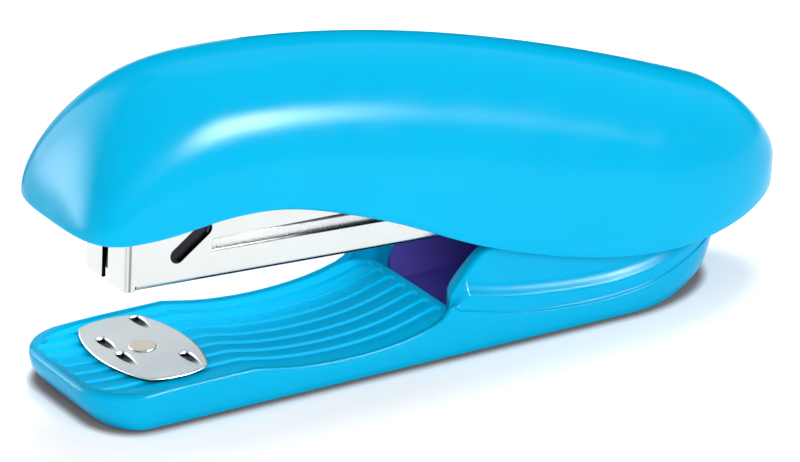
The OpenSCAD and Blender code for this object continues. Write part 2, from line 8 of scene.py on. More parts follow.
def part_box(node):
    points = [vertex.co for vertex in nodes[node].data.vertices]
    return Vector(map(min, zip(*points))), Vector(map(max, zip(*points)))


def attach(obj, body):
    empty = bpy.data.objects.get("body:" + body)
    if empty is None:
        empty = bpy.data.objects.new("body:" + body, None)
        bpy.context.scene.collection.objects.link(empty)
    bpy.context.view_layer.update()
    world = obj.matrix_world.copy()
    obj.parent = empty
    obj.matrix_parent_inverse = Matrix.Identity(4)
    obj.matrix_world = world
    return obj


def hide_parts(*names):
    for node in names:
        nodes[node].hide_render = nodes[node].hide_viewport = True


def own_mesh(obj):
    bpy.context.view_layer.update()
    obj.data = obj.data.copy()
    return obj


# Half-strip desk stapler. Shapes are worked out in millimetres with X = 0 at the anvil rivet,
# X running from the nose (-) to the tail (+), Y across and Z up from the table.

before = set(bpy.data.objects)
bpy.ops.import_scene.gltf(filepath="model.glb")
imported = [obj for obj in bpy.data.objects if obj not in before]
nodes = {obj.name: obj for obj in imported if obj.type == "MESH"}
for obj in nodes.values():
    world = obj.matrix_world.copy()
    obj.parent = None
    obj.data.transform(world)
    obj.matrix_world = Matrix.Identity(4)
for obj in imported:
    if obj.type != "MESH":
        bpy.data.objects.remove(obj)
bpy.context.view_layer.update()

MM = 0.001


def node_box(name):
    """Lowest and highest corner of a CAD node in millimetres, in the row frame."""
    low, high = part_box(name)
    return low / MM, high / MM


def middle(name):
    """Middle of a CAD node's box in millimetres, in the row frame."""
    low, high = node_box(name)
    return (low + high) / 2


# ---- sizes taken from the frame ---------------------------------------------

ORIGIN_X = middle("anvil_rivet").x
PIN = Vector((middle("hinge_pin").x - ORIGIN_X, 0, middle("hinge_pin").z))
COVER_LOW, COVER_HIGH = node_box("top_cover")
NOSE_X = COVER_LOW.x - ORIGIN_X
TAIL_X = COVER_HIGH.x - ORIGIN_X
CREST_Z = COVER_HIGH.z
COVER_HALF = COVER_HIGH.y
BASE_HALF = node_box("base_shell")[1].y
ANVIL_TOP = node_box("anvil_plate")[1].z
MAGAZINE_HALF = node_box("magazine_channel")[1].y
STRIP_HALF = node_box("staple_strip")[1].y

# ---- curves -----------------------------------------------------------------


def clamp(value, low=0.0, high=1.0):
    """The value, kept between low and high."""
    return max(low, min(high, value))


def smoothstep(start, end, value):
    """0 up to start, 1 from end on, and a smooth rise between them."""
    t = clamp((value - start) / (end - start))
    return t * t * (3 - 2 * t)


def mix(a, b, t):
    """The number that lies the share t of the way from a to b."""
    return a + (b - a) * t


def bezier(p, t):
    """Point at t, from 0 to 1, of the cubic curve with four control points."""
    s = 1 - t
    return tuple(
        s**3 * p[0][i] + 3 * s * s * t * p[1][i] + 3 * s * t * t * p[2][i] + t**3 * p[3][i]
        for i in range(2)
    )


def slope(points, i):
    """Slope at point i, from its two neighbours."""
    a = points[max(i - 1, 0)]
    b = points[min(i + 1, len(points) - 1)]
    return (b[1] - a[1]) / (b[0] - a[0])


def smooth_at(points, x):
    """Height at x of a smooth curve through the points."""
    i = max([j for j in range(len(points) - 1) if points[j][0] <= x], default=0)
    h = points[i + 1][0] - points[i][0]
    t = clamp((x - points[i][0]) / h)
    rise = (3 - 2 * t) * t * t
    return (
        mix(points[i][1], points[i + 1][1], rise)
        + t * (1 - t) ** 2 * h * slope(points, i)
        - t * t * (1 - t) * h * slope(points, i + 1)
    )


def even_steps(curve, count, fine=400):
    """Points spaced evenly along a curve given as a function of 0 to 1."""
    path = [curve(i / fine) for i in range(fine + 1)]
    lengths = [0.0]
    for a, b in zip(path, path[1:]):
        lengths.append(lengths[-1] + math.dist(a, b))
    chosen = []
    j = 0
    for k in range(count + 1):
        want = lengths[-1] * k / count
        while j < fine - 1 and lengths[j + 1] < want:
            j += 1
        part = clamp((want - lengths[j]) / max(lengths[j + 1] - lengths[j], 1e-9))
        chosen.append(curve((j + part) / fine))
    return chosen


# ---- mesh helpers -----------------------------------------------------------

IN_PLACE = Matrix.Scale(MM, 4) @ Matrix.Translation((ORIGIN_X, 0, 0))
MAGAZINE_TILT = math.radians(2.75)


def at_pin(angle):
    """Placing of a shape drawn round the hinge pin and raised by an angle."""
    return IN_PLACE @ Matrix.Translation(PIN) @ Matrix.Rotation(angle, 4, "Y")


WITH_MAGAZINE = at_pin(MAGAZINE_TILT)


def add_piece(name, mesh, body, material, stands_for=(), place=IN_PLACE, sharp=40):
    """Puts a mesh drawn in millimetres into the scene as a piece that rides on a body."""
    mesh.name = name
    mesh.transform(place)
    work = bmesh.new()
    work.from_mesh(mesh)
    bmesh.ops.recalc_face_normals(work, faces=work.faces)
    limit = math.radians(sharp)
    for edge in work.edges:
        edge.smooth = len(edge.link_faces) == 2 and edge.calc_face_angle(0) < limit
    for face in work.faces:
        face.smooth = True
    work.to_mesh(mesh)
    work.free()
    piece = bpy.data.objects.new(name, mesh)
    bpy.context.scene.collection.objects.link(piece)
    piece.data.materials.append(material)
    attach(piece, body)
    if stands_for:
        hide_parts(*stands_for)
    return piece


def mesh_from(points, faces, merge=1e-4):
    """A mesh in which points closer than merge are one, and faces that shrink to nothing are gone."""
    work = bmesh.new()
    corners = [work.verts.new(p) for p in points]
    for face in faces:
        ring = []
        for i in face:
            if corners[i] not in ring:
                ring.append(corners[i])
        if len(ring) > 2:
            work.faces.new(ring)
    bmesh.ops.remove_doubles(work, verts=work.verts, dist=merge)
    bmesh.ops.dissolve_degenerate(work, edges=work.edges, dist=merge)
    mesh = bpy.data.meshes.new("mesh")
    work.to_mesh(mesh)
    work.free()
    return mesh


def grid_faces(rows, columns, wrap_rows=False, wrap_columns=False):
    """Faces of a grid of points stored row after row."""
    faces = []
    for i in range(rows if wrap_rows else rows - 1):
        for j in range(columns if wrap_columns else columns - 1):
            a = i * columns + j
            b = i * columns + (j + 1) % columns
            c = (i + 1) % rows * columns + (j + 1) % columns
            d = (i + 1) % rows * columns + j
            faces.append([a, b, c, d])
    return faces


def turned_solid(profile):
    """A solid of revolution about Z from a profile of (radius, height)."""
    steps = 96
    points = []
    for k in range(steps):
        a = 2 * math.pi * k / steps
        points += [(r * math.cos(a), r * math.sin(a), z) for r, z in profile]
    return mesh_from(points, grid_faces(steps, len(profile), wrap_rows=True))


def tube(path, radius, sides=10):
    """A round wire along a path of points, closed at both ends."""
    points = []
    side = Vector((0, 0, 1))
    for i, p in enumerate(path):
        ahead = (path[min(i + 1, len(path) - 1)] - path[max(i - 1, 0)]).normalized()
        side = (side - ahead * side.dot(ahead)).normalized()
        other = ahead.cross(side)
        for k in range(sides):
            a = 2 * math.pi * k / sides
            points.append(p + radius * (side * math.cos(a) + other * math.sin(a)))
    faces = grid_faces(len(path), sides, wrap_columns=True)
    faces.append(list(range(sides)))
    faces.append([(len(path) - 1) * sides + k for k in range(sides)])
    return mesh_from(points, faces)


def joined(meshes):
    """One mesh that holds several."""
    work = bmesh.new()
    for mesh in meshes:
        work.from_mesh(mesh)
    whole = bpy.data.meshes.new("joined")
    work.to_mesh(whole)
    work.free()
    return whole


# ---- materials --------------------------------------------------------------


class Nodes:
    """A material's node tree, with short names for the nodes that the finishes share."""

    def __init__(self, name):
        self.material = bpy.data.materials.new(name)
        self.material.use_nodes = True
        self.tree = self.material.node_tree
        self.shader = self.tree.nodes["Principled BSDF"]
        self.place = self.tree.nodes.new("ShaderNodeTexCoord").outputs["Object"]

    def link(self, output, socket):
        self.tree.links.new(output, socket)

    def stretched(self, scale):
        mapping = self.tree.nodes.new("ShaderNodeMapping")
        mapping.inputs["Scale"].default_value = scale
        self.link(self.place, mapping.inputs["Vector"])
        return mapping.outputs["Vector"]

    def noise(self, size, detail, along=(1, 1, 1)):
        """Noise whose features are about size metres across."""
        noise = self.tree.nodes.new("ShaderNodeTexNoise")
        noise.inputs["Scale"].default_value = 1 / size
        noise.inputs["Detail"].default_value = detail
        self.link(self.stretched(along), noise.inputs["Vector"])
        return noise.outputs["Fac"]

    def levels(self, value, low, high, start=0.3, end=0.7):
        """Maps a 0 to 1 pattern to a range."""
        node = self.tree.nodes.new("ShaderNodeMapRange")
        node.inputs["From Min"].default_value = start
        node.inputs["From Max"].default_value = end
        node.inputs["To Min"].default_value = low
        node.inputs["To Max"].default_value = high
        self.link(value, node.inputs["Value"])
        return node.outputs["Result"]

    def blend(self, factor, first, second):
        node = self.tree.nodes.new("ShaderNodeMix")
        node.data_type = "RGBA"
        self.link(factor, node.inputs["Factor"])
        for socket, colour in ((node.inputs["A"], first), (node.inputs["B"], second)):
            if isinstance(colour, tuple):
                socket.default_value = (*colour, 1)
            else:
                self.link(colour, socket)
        return node.outputs["Result"]

    def clouds(self, size, detail, first, second):
        """A colour that drifts between two, in patches about size metres across."""
        return self.blend(self.levels(self.noise(size, detail), 0, 1), first, second)

    def bump(self, height, strength, distance):
        node = self.tree.nodes.new("ShaderNodeBump")
        node.inputs["Strength"].default_value = strength
        node.inputs["Distance"].default_value = distance
        self.link(height, node.inputs["Height"])
        self.link(node.outputs["Normal"], self.shader.inputs["Normal"])

    def colour(self, output):
        self.link(output, self.shader.inputs["Base Color"])

    def roughness(self, output):
        self.link(output, self.shader.inputs["Roughness"])

    def set(self, **values):
        """Sets sockets of the shader that are the same all over."""
        for key, value in values.items():
            self.shader.inputs[key.replace("_", " ")].default_value = value


def gloss_plastic(name, colour, deeper):
    """Glossy moulded plastic with faint flow marks and a trace of orange peel."""
    n = Nodes(name)
    n.colour(n.clouds(0.03, 2, colour, deeper))
    n.roughness(n.levels(n.noise(0.006, 4), 0.14, 0.21))
    n.bump(n.noise(0.0035, 2), 0.04, 0.0003)
    n.set(IOR=1.5, Specular_IOR_Level=0.07)
    return n.material


def textured_plastic(name, colour, lighter, roughness=(0.42, 0.6), specular=0.4, relief=0.25):
    """Matt moulded plastic with a fine eroded texture."""
    n = Nodes(name)
    n.colour(n.clouds(0.012, 4, colour, lighter))
    n.roughness(n.levels(n.noise(0.0006, 3), *roughness))
    n.bump(n.noise(0.0005, 4), relief, 0.0001)
    n.set(Specular_IOR_Level=specular)
    return n.material


def soft_rubber(name):
    """Dull black rubber, slightly dusty."""
    n = Nodes(name)
    n.colour(n.clouds(0.004, 6, (0.018, 0.018, 0.02), (0.04, 0.04, 0.043)))
    n.roughness(n.levels(n.noise(0.001, 4), 0.7, 0.9))
    n.bump(n.noise(0.0004, 5), 0.3, 0.00012)
    return n.material


def plated_steel(name, colour, darker, roughness, grain=(1, 12, 12), relief=0.03, metallic=1.0, cut=None):
    """Plated metal with drawing lines along it, faint cloudiness and, if given, a colour on its cut edges
    that is painted shade.
    """
    n = Nodes(name)
    plate = n.clouds(0.01, 5, colour, darker)
    if cut:
        # Painted shade: faces marked as cut edges take the given dark colour.
        edge_shade_mark = n.tree.nodes.new("ShaderNodeAttribute")
        edge_shade_mark.attribute_name = "cut"
        plate = n.blend(edge_shade_mark.outputs["Fac"], plate, cut)
    n.colour(plate)
    n.roughness(n.levels(n.noise(0.004, 4, grain), *roughness))
    n.bump(n.noise(0.003, 5, grain), relief, 0.0001)
    n.set(Metallic=metallic)
    return n.material


def clinch_steel_with_painted_shade(name, colour, darker, groove):
    """Satin plated steel with painted shade below its top face: darker in the staple grooves and round the
    cut edge.
    """
    n = Nodes(name)
    grain = (6, 6, 1)
    plate = n.clouds(0.01, 5, colour, darker)
    # Painted shade: the colour blends to the groove colour as the surface falls below the top face.
    height = n.tree.nodes.new("ShaderNodeSeparateXYZ")
    n.link(n.place, height.inputs["Vector"])
    depth = n.levels(height.outputs["Z"], 1, 0, (ANVIL_TOP - 0.32) * MM, (ANVIL_TOP - 0.1) * MM)
    n.colour(n.blend(depth, plate, groove))
    n.roughness(n.levels(n.noise(0.004, 4, grain), 0.28, 0.38))
    n.bump(n.noise(0.003, 5, grain), 0.04, 0.0001)
    n.set(Metallic=1.0)
    return n.material


BLUE = gloss_plastic("blue_plastic", (0.0, 0.405, 0.69), (0.0, 0.39, 0.67))
# Painted light: the pad is the base's blue plastic painted lighter, to make up for the shade that the cover
# casts on it.
BLUE_PAD_PAINTED_LIGHTER = textured_plastic("blue_pad_painted_lighter", (0.0, 0.57, 0.94), (0.0, 0.55, 0.92), (0.38, 0.5), 0.02, 0.05)
# Painted shade: the liner's dark indigo stands for the blue plastic in shadow inside the well.
INDIGO_PAINTED_SHADE = textured_plastic("indigo_painted_shade", (0.13, 0.1, 0.56), (0.16, 0.125, 0.64))
BLACK = textured_plastic("black_plastic", (0.02, 0.02, 0.024), (0.035, 0.035, 0.04))
RUBBER = soft_rubber("sole_rubber")
# The near-black cut-edge colour is painted shade for the dark outline round the magazine's edges and holes.
BRIGHT = plated_steel("bright_plate", (0.6, 0.62, 0.61), (0.58, 0.6, 0.59), (0.14, 0.26),
                      cut=(0.003, 0.003, 0.004))
# The last colour is a near-black painted shade for the anvil's grooves and edge.
SATIN = clinch_steel_with_painted_shade("satin_plate", (0.87, 0.95, 0.97), (0.82, 0.9, 0.93), (0.002, 0.002, 0.003))
NICKEL = plated_steel("warm_nickel", (0.92, 0.88, 0.78), (0.84, 0.79, 0.69), (0.3, 0.4), (3, 3, 3), 0.05)
ZINC = plated_steel("zinc_plate", (0.62, 0.63, 0.65), (0.50, 0.52, 0.55), (0.28, 0.45), (2, 4, 4), 0.06)
BLUED = plated_steel("blued_steel", (0.012, 0.012, 0.016), (0.03, 0.028, 0.032), (0.25, 0.4))
WIRE = plated_steel("spring_wire", (0.55, 0.56, 0.58), (0.42, 0.43, 0.45), (0.2, 0.32))
STAPLE = plated_steel("staple_wire", (0.66, 0.67, 0.67), (0.63, 0.64, 0.645), (0.26, 0.32), (8, 2, 2),
                      0.002, 0.8)

# ---- cover ------------------------------------------------------------------

NOSE = (NOSE_X, 35.8)
CREST = (12, CREST_Z)
SHOULDER = (116, 36)
TAIL = (TAIL_X, 17.6)
NOSE_RISE = 14.5
SPINE = [
    [NOSE, (NOSE[0] + NOSE_RISE / 4, NOSE[1] + NOSE_RISE), (CREST[0] - 20, CREST[1]), CREST],
    [CREST, (CREST[0] + 40, CREST[1]), (SHOULDER[0] - 25, SHOULDER[1] + 9.7), SHOULDER],
    [SHOULDER, (SHOULDER[0] + 6.7, SHOULDER[1] - 2.6), (TAIL[0], TAIL[1] + 7.2), TAIL],
]
COVER_WALL = 1.8
LIP = 0.3
NOSE_HALF = 17.2
NOSE_ROUND = 8.6
NOSE_POWER = 3.4
TAIL_ROUND = 34
DOME_POWER = 2.3
TUCK = 0.96
EDGE_POINTS = [(-18, 35.2), (-5, 34.6), (10, 36), (22, 34.9), (40, 28.9), (60, 20),
               (80, 13.9), (97, 11.5), (114, 12.6), (131, 15.8)]
DOME_STEPS = 22
SKIRT_STEPS = 5


def ridge_height(x):
    """Height of the cover's ridge line at x."""
    part = next((p for p in SPINE if x <= p[3][0]), SPINE[-1])
    low, high = 0.0, 1.0
    halvings = 40
    for _ in range(halvings):
        t = (low + high) / 2
        if bezier(part, t)[0] < x:
            low = t
        else:
            high = t
    return bezier(part, (low + high) / 2)[1]


def cover_plan(t):
    """(x, share of the full half width) along the side of the cover, t from 0 to 3."""
    if t < 1:
        a = math.pi / 2 * t
        return (NOSE_X + NOSE_ROUND * (1 - math.cos(a) ** (2 / NOSE_POWER)),
                math.sin(a) ** (2 / NOSE_POWER))
    if t < 2:
        return mix(NOSE_X + NOSE_ROUND, TAIL_X - TAIL_ROUND, t - 1), 1.0
    a = math.pi / 2 * (t - 2)
    return TAIL_X - TAIL_ROUND + TAIL_ROUND * math.sin(a), math.cos(a)


def full_half(x):
    """Half width of the cover at x, before its ends are rounded."""
    return mix(NOSE_HALF, COVER_HALF, clamp((x + 5) / 95))


def cover_stations():
    """Stations (x, half width) along the cover, spaced evenly along its side."""
    def side(t):
        x, share = cover_plan(3 * t)
        return x, share * full_half(x)

    nose_part = even_steps(lambda t: side(t / 3), 22, 4000)
    body_part = even_steps(lambda t: side((1 + t) / 3), 56)
    tail_part = even_steps(lambda t: side((2 + t) / 3), 34, 2000)
    return nose_part + body_part[1:] + tail_part[1:]


def half_section(x, half, inset):
    """Right half of a cross section, from the top centre to the lower edge."""
    top = ridge_height(x)
    edge = min(smooth_at(EDGE_POINTS, x), top - 0.5)
    wide = edge + min(0.4 + 4 * clamp((x - 12) / 78), (top - edge) / 2)
    top = max(top - inset, wide + 0.05)
    half = max(half - inset, 0)
    middle_x = (NOSE_X + TAIL_X) / 2
    shrink = 1 - 2 * inset / (TAIL_X - NOSE_X)
    x = middle_x + (x - middle_x) * shrink
    points = []
    for k in range(DOME_STEPS + 1):
        a = math.pi / 2 * k / DOME_STEPS
        points.append((x, half * math.sin(a) ** (2 / DOME_POWER),
                       mix(wide, top, max(math.cos(a), 0) ** (2 / DOME_POWER))))
    drops = [k / SKIRT_STEPS for k in range(1, SKIRT_STEPS)]
    drops += [max(1 - LIP / (wide - edge), 0.9), 1]
    for s in drops:
        points.append((x, half * (1 - (1 - TUCK) * s * s), mix(wide, edge, s)))
    return points


def cover_loop(x, half):
    """Closed cross section of the cover's wall: outside, lip, inside."""
    outer = half_section(x, half, 0)
    inner = half_section(x, half, COVER_WALL)
    lip = [tuple(mix(a, b, t) for a, b in zip(outer[-1], inner[-1])) for t in (0.2, 0.8)]
    right = outer + lip + inner[::-1]
    left = [(p[0], -p[1], p[2]) for p in right]
    return right + left[::-1]


def build_cover():
    """The hollow shell, lofted through cross sections from nose to tail."""
    loops = [cover_loop(x, half) for x, half in cover_stations()]
    points = [p for loop in loops for p in loop]
    mesh = mesh_from(points, grid_faces(len(loops), len(loops[0]), wrap_columns=True), 2e-3)
    cover = add_piece("cover", mesh, "cover", BLUE, ["top_cover"], sharp=60)
    smooth = cover.modifiers.new("smooth", "SUBSURF")
    smooth.levels = 1
    smooth.render_levels = 1
    return cover


# ---- base -------------------------------------------------------------------

# The lists below are (height, inset or length) and (place along X, height).

FRONT_CORNER = 9
FRONT_FLAT = 8
CORNER_POWER = 0.8
STERN_START = 90
PAD_END = 54.8
RIM_LEVEL_TO = 13
RIM = 7.1
FOOT_HEIGHTS = (0.4, 0.7, 1.2, 2)
FRONT_BEAD = 1.3
SIDE_BEAD = 0.5
WELL_HALF = 12.6
WELL_FLOOR = 2.8
WALL_INSET = [(0.4, 0.4), (1.5, 0.15), (3.5, 0), (9, 0.5), (20, 0.5)]
STERN_LENGTH = [(0.4, 22.2), (3.5, 26.2), (9, 29), (20, 29)]
FRONT_TUCK = [(0.4, 2.8), (1.8, 1.8), (3.5, 0.75), (5.5, 0.1), (20, 0)]
RIM_POINTS = [(RIM_LEVEL_TO, RIM), (22, RIM - 1.6), (33, RIM - 2.2), (44, RIM - 1.3), (PAD_END, 8.6)]
FLARE_POINTS = [(50.6, 7.42), (52, 8.9), (54.6, 12), (57.9, 15.7), (61.5, 18.5), (66, 18.5)]
STERN_POINTS = [(98, 18.5), (104, 18.5), (112, 17), (120, 12.5)]
UPPER_RIDGE = [(50, 14.5), (56, 12.6), (68, 10.1), (85, 8.6), (96, 9.3), (106, 11.2), (119, 14.5)]
LOWER_RIDGE = [(50, 9.6), (55, 8.6), (67, 5.9), (80, 4.6), (92, 4.9), (104, 7), (119, 10.5)]
LOWER_STEP = 0.75
UPPER_STEP = 2.1


def rim_height(x):
    """Height of the rim round the pad."""
    return RIM if x < RIM_LEVEL_TO else smooth_at(RIM_POINTS, x)


def base_top(x):
    """Height of the base's top edge at x."""
    if x < FLARE_POINTS[0][0]:
        return rim_height(x)
    if x < FLARE_POINTS[-1][0]:
        return smooth_at(FLARE_POINTS, x)
    return smooth_at(STERN_POINTS, x)


def base_plan(inset, stern, tuck):
    """Half of the base's outline from above, from the front centre to the stern's tip."""
    half = BASE_HALF - inset
    x0 = NOSE_X + inset + tuck
    corner_x = NOSE_X + inset + FRONT_CORNER
    points = [(x0, FRONT_FLAT * k / 4) for k in range(4)]

    def corner(t):
        a = math.pi / 2 * (1 - t)
        return (corner_x - (FRONT_CORNER - tuck) * math.sin(a) ** CORNER_POWER,
                half - (half - FRONT_FLAT) * (1 - math.cos(a)) ** CORNER_POWER)

    points += even_steps(corner, 18)
    stops = [-5, 0, 5, 10] + [13 + 3 * k for k in range(13)] + [51, 52]
    stops += [52.5 + 0.35 * k for k in range(30)]
    stops += [64 + 2 * k for k in range(13)]
    points += [(max(x, corner_x), half) for x in stops]
    reach = stern - inset
    for k in range(1, 25):
        a = math.pi / 2 * k / 24
        points.append((STERN_START + reach * math.sin(a), half * math.cos(a)))
    return points


def arc(centre, radius, start, end, steps):
    """Points (inset, height) round an arc, angles in degrees from the inward direction."""
    points = []
    for k in range(steps + 1):
        a = math.radians(mix(start, end, k / steps))
        points.append((centre[0] + radius * math.cos(a), centre[1] + radius * math.sin(a)))
    return points


def rim_section(x, top):
    """Cross section of the wall beside the pad: a bead, broad at the front and thin along the sides."""
    radius = mix(FRONT_BEAD, SIDE_BEAD, smoothstep(-13, 1, x))
    centre = radius + 0.2
    end = centre + radius * math.cos(math.radians(30))
    fall = radius / 2
    side = [(smooth_at(WALL_INSET, z), z) for z in (*FOOT_HEIGHTS, 3.5, top - radius - 0.35)]
    bead = arc((centre, top - radius), radius, 172, 30, 20)
    inner = [(end + 0.08, top - fall - 0.06), (max(end + 0.12, 1.75), top - fall - 0.2)]
    inner += [(2.0, 2.0), (1.4, 1.6), (0.9, 0.42)]
    return side + bead + inner


def housing_section(x, top):
    """Cross section of the wall beside the well: a crisp lower ridge and a soft upper one."""
    lower = min(smooth_at(LOWER_RIDGE, x), top - 1.2)
    upper = max(min(smooth_at(UPPER_RIDGE, x), top - 1.9), lower + 0.1)
    gap = upper - lower
    inner = mix(2.9, BASE_HALF - WELL_HALF, smoothstep(51.5, 55.5, x))
    side = [(smooth_at(WALL_INSET, z), z) for z in (*FOOT_HEIGHTS, 3, max(lower - 0.6, 3.2))]
    step = smooth_at(WALL_INSET, lower)
    crisp = 0.3
    first = arc((step + crisp, lower - crisp), crisp, 180, 90, 4)
    band = LOWER_STEP - 0.1
    first += [(mix(first[-1][0], band, 0.6), lower + min(0.15, gap / 8)), (band, lower + min(0.6, gap / 4))]
    soft = min(2.2, 0.6 * gap)
    first += [(band, upper - soft)]
    second = arc((band + soft, upper - soft), soft, 176, 135, 4)
    end = second[-1]
    second += [(mix(end[0], UPPER_STEP, 0.6), upper + 0.12 * soft), (UPPER_STEP, upper + 0.55 * soft)]
    edge = min(0.9, (top - upper) / 3)
    crest = arc((UPPER_STEP + 0.2 + edge, top - edge), edge, 175, 95, 3)
    inner_edge = 0.6
    crest += arc((inner - inner_edge, top - inner_edge), inner_edge, 85, 20, 1)
    wall = [(inner, top - 0.8), (inner, WELL_FLOOR), (inner, 2.0), (inner - 1, 1.6), (1.6, 0.42)]
    return side + first + second + crest + wall


def wall_section(x):
    """Cross section of the wall at x, which changes from rim to housing where the pad ends."""
    top = base_top(x)
    front = rim_section(x, top)
    share = smoothstep(52.4, 54.6, x)
    if share == 0:
        return front
    rear = housing_section(x, top)
    return [(mix(a[0], b[0], share), mix(a[1], b[1], share)) for a, b in zip(front, rear)]


def base_wall():
    """The wall of the base, swept round its outline."""
    reference = base_plan(0, STERN_LENGTH[-1][1], 0)
    sections = [wall_section(p[0]) for p in reference]
    half_rings = []
    for i, section in enumerate(sections):
        ring = []
        for inset, z in section:
            x, y = base_plan_point(i, inset, smooth_at(STERN_LENGTH, z), smooth_at(FRONT_TUCK, z))
            ring.append((x, y, z))
        half_rings.append(ring)
    mirrored = [[(p[0], -p[1], p[2]) for p in ring] for ring in half_rings[1:-1]]
    rings = half_rings + mirrored[::-1]
    count = len(rings[0])
    points = [p for ring in rings for p in ring]
    return mesh_from(points, grid_faces(len(rings), count, wrap_rows=True, wrap_columns=True))


PLANS = {}


def base_plan_point(i, inset, stern, tuck):
    """Point i of an outline. Each outline is worked out once and kept in PLANS."""
    key = (round(inset, 4), round(stern, 4), round(tuck, 4))
    if key not in PLANS:
        PLANS[key] = base_plan(*key)
    return PLANS[key][i]


def base_floor():
    """The plate that closes the base below the pad and the well."""
    underside = 1.62
    half = base_plan(1.3, STERN_LENGTH[0][1] + 1.4, 1.5)
    outline = half + [(x, -y) for x, y in half[-2:0:-1]]
    count = len(outline)
    points = [(x, y, z) for z in (underside, WELL_FLOOR) for x, y in outline]
    faces = [list(range(count)), list(range(2 * count - 1, count - 1, -1))]
    faces += [[i, (i + 1) % count, count + (i + 1) % count, count + i] for i in range(count)]
    return mesh_from(points, faces)


PAD_DEPTH = 0.35
PAD_INSET = 1.6
PAD_START = -15.9
PAD_STRAIGHT_FROM = 2
PAD_EDGE = 0.4
GROOVES = 7
GROOVE_PITCH = 4.07
GROOVE_HALF = 1.1
GROOVE_DEPTH = 0.5
GROOVE_END = 53.5


def pad_front(y):
    """Where the rim's inner face lies in front of the pad, at y."""
    half = BASE_HALF - PAD_INSET
    x0 = NOSE_X + PAD_INSET
    if abs(y) <= FRONT_FLAT:
        return x0
    share = clamp((half - abs(y)) / (half - FRONT_FLAT))
    a = math.acos(clamp(1 - share ** (1 / CORNER_POWER)))
    return x0 + FRONT_CORNER * (1 - math.sin(a) ** CORNER_POWER)


def pad_height(x, y):
    """Height of the pad's grooved surface."""
    index = clamp(round(y / GROOVE_PITCH), -(GROOVES // 2), GROOVES // 2)
    centre = index * GROOVE_PITCH
    start = pad_front(centre) + GROOVE_HALF - 0.1
    beyond = max(start - x, x - (GROOVE_END - GROOVE_HALF), 0)
    off = math.hypot(beyond, y - centre)
    groove = GROOVE_DEPTH * (1 - smoothstep(0.86 * GROOVE_HALF, 1.12 * GROOVE_HALF, off))
    sink = 0.04
    return rim_height(x) - PAD_DEPTH * smoothstep(-16, -9, x) - sink - groove


def pad_lines():
    """Where the pad is cut lengthways: close together on the edges of the grooves."""
    half = BASE_HALF - PAD_INSET
    lines = {-half, half}
    for index in range(-(GROOVES // 2), GROOVES // 2 + 1):
        for off in (0, 0.55, 0.85, 0.93, 0.98, 1.03, 1.08, 1.13, 1.18, 1.24, 1.4, 1.7):
            lines |= {index * GROOVE_PITCH + off, index * GROOVE_PITCH - off}
    return sorted(lines)


def base_pad():
    """The grooved pad that the paper lies on."""
    ys = pad_lines()
    edge_x = PAD_END - PAD_EDGE
    edge_z = rim_height(edge_x) - PAD_DEPTH
    foot_z = WELL_FLOOR - 0.4
    xs = [mix(PAD_START, 50.8, k / 100) for k in range(101)]
    xs += [mix(50.9, 54.1, k / 28) for k in range(29)] + [edge_x]
    points = []
    for x in xs:
        share = clamp((x - PAD_START) / (PAD_STRAIGHT_FROM - PAD_START))
        for y in ys:
            px = mix(pad_front(y), PAD_STRAIGHT_FROM, share) if share < 1 else x
            points.append((px, y, pad_height(px, y)))
    for k in range(1, 6):
        a = math.pi / 2 * k / 5
        points += [(edge_x + PAD_EDGE * math.sin(a), y, edge_z - PAD_EDGE * (1 - math.cos(a))) for y in ys]
    points += [(PAD_END, y, foot_z) for y in ys]
    points += [(pad_front(y) + 0.8, y, foot_z) for y in ys]
    rows = len(points) // len(ys)
    faces = grid_faces(rows, len(ys), wrap_rows=True)
    count = len(ys)
    faces.append([i * count for i in range(rows)])
    faces.append([(i + 1) * count - 1 for i in range(rows)])
    return mesh_from(points, faces)


def build_base():
    """The wall and floor are one piece, and the pad is another."""
    mesh = joined([base_wall(), base_floor()])
    add_piece("base", mesh, "base", BLUE, ["base_shell"], sharp=45)
    add_piece("base_pad", base_pad(), "base", BLUE_PAD_PAINTED_LIGHTER, sharp=45)


# ---- anvil ------------------------------------------------------------------

ANVIL_CORNER = (6.2, 13)
ANVIL_BULGE = (2.8, 1.3)
ANVIL_THICK = 0.75
GROOVE_PLACES = [(-4.8, 3.7), (-4.8, -3.7), (4.9, 9.2), (4.9, -9.2)]
LEAF_HALF = (1.2, 3.5)
LEAF_DEPTH = 0.68
EDGE_ROLL = 0.4
UNDERCUT = 0.965


def leaf_depth(x, y):
    """Depth of the leaf-shaped grooves that curl the staple's legs: steep and blunt toward +Y."""
    depth = 0.0
    widest = 1.14
    for cx, cy in GROOVE_PLACES:
        v = (y - cy) / LEAF_HALF[1]
        if abs(v) < 1:
            width = LEAF_HALF[0] * (1 - v) ** 0.25 * (1 + v) ** 0.75 / widest
            u = (x - cx) / width
            if abs(u) < 1:
                ramp = 0.5 * (1 + v) * (1 - smoothstep(0.93, 1, v))
                depth = max(depth, LEAF_DEPTH * ramp * min(1, 2.2 * (1 - abs(u))))
    return depth


def anvil_point(u, v):
    """Place on the bowed outline: u and v run from -1 to 1 across the plate."""
    pull = 1 - 0.03 * (u * v) ** 8
    x = u * (ANVIL_CORNER[0] + ANVIL_BULGE[0] * (1 - v * v)) * pull
    y = v * (ANVIL_CORNER[1] + ANVIL_BULGE[1] * (1 - u * u)) * pull
    return x, y


def edge_crowded(steps):
    """Values from -1 to 1 that lie closer together at both ends."""
    values = [2 * k / steps - 1 for k in range(steps + 1)]
    return [1.25 * t - 0.25 * t**3 for t in values]


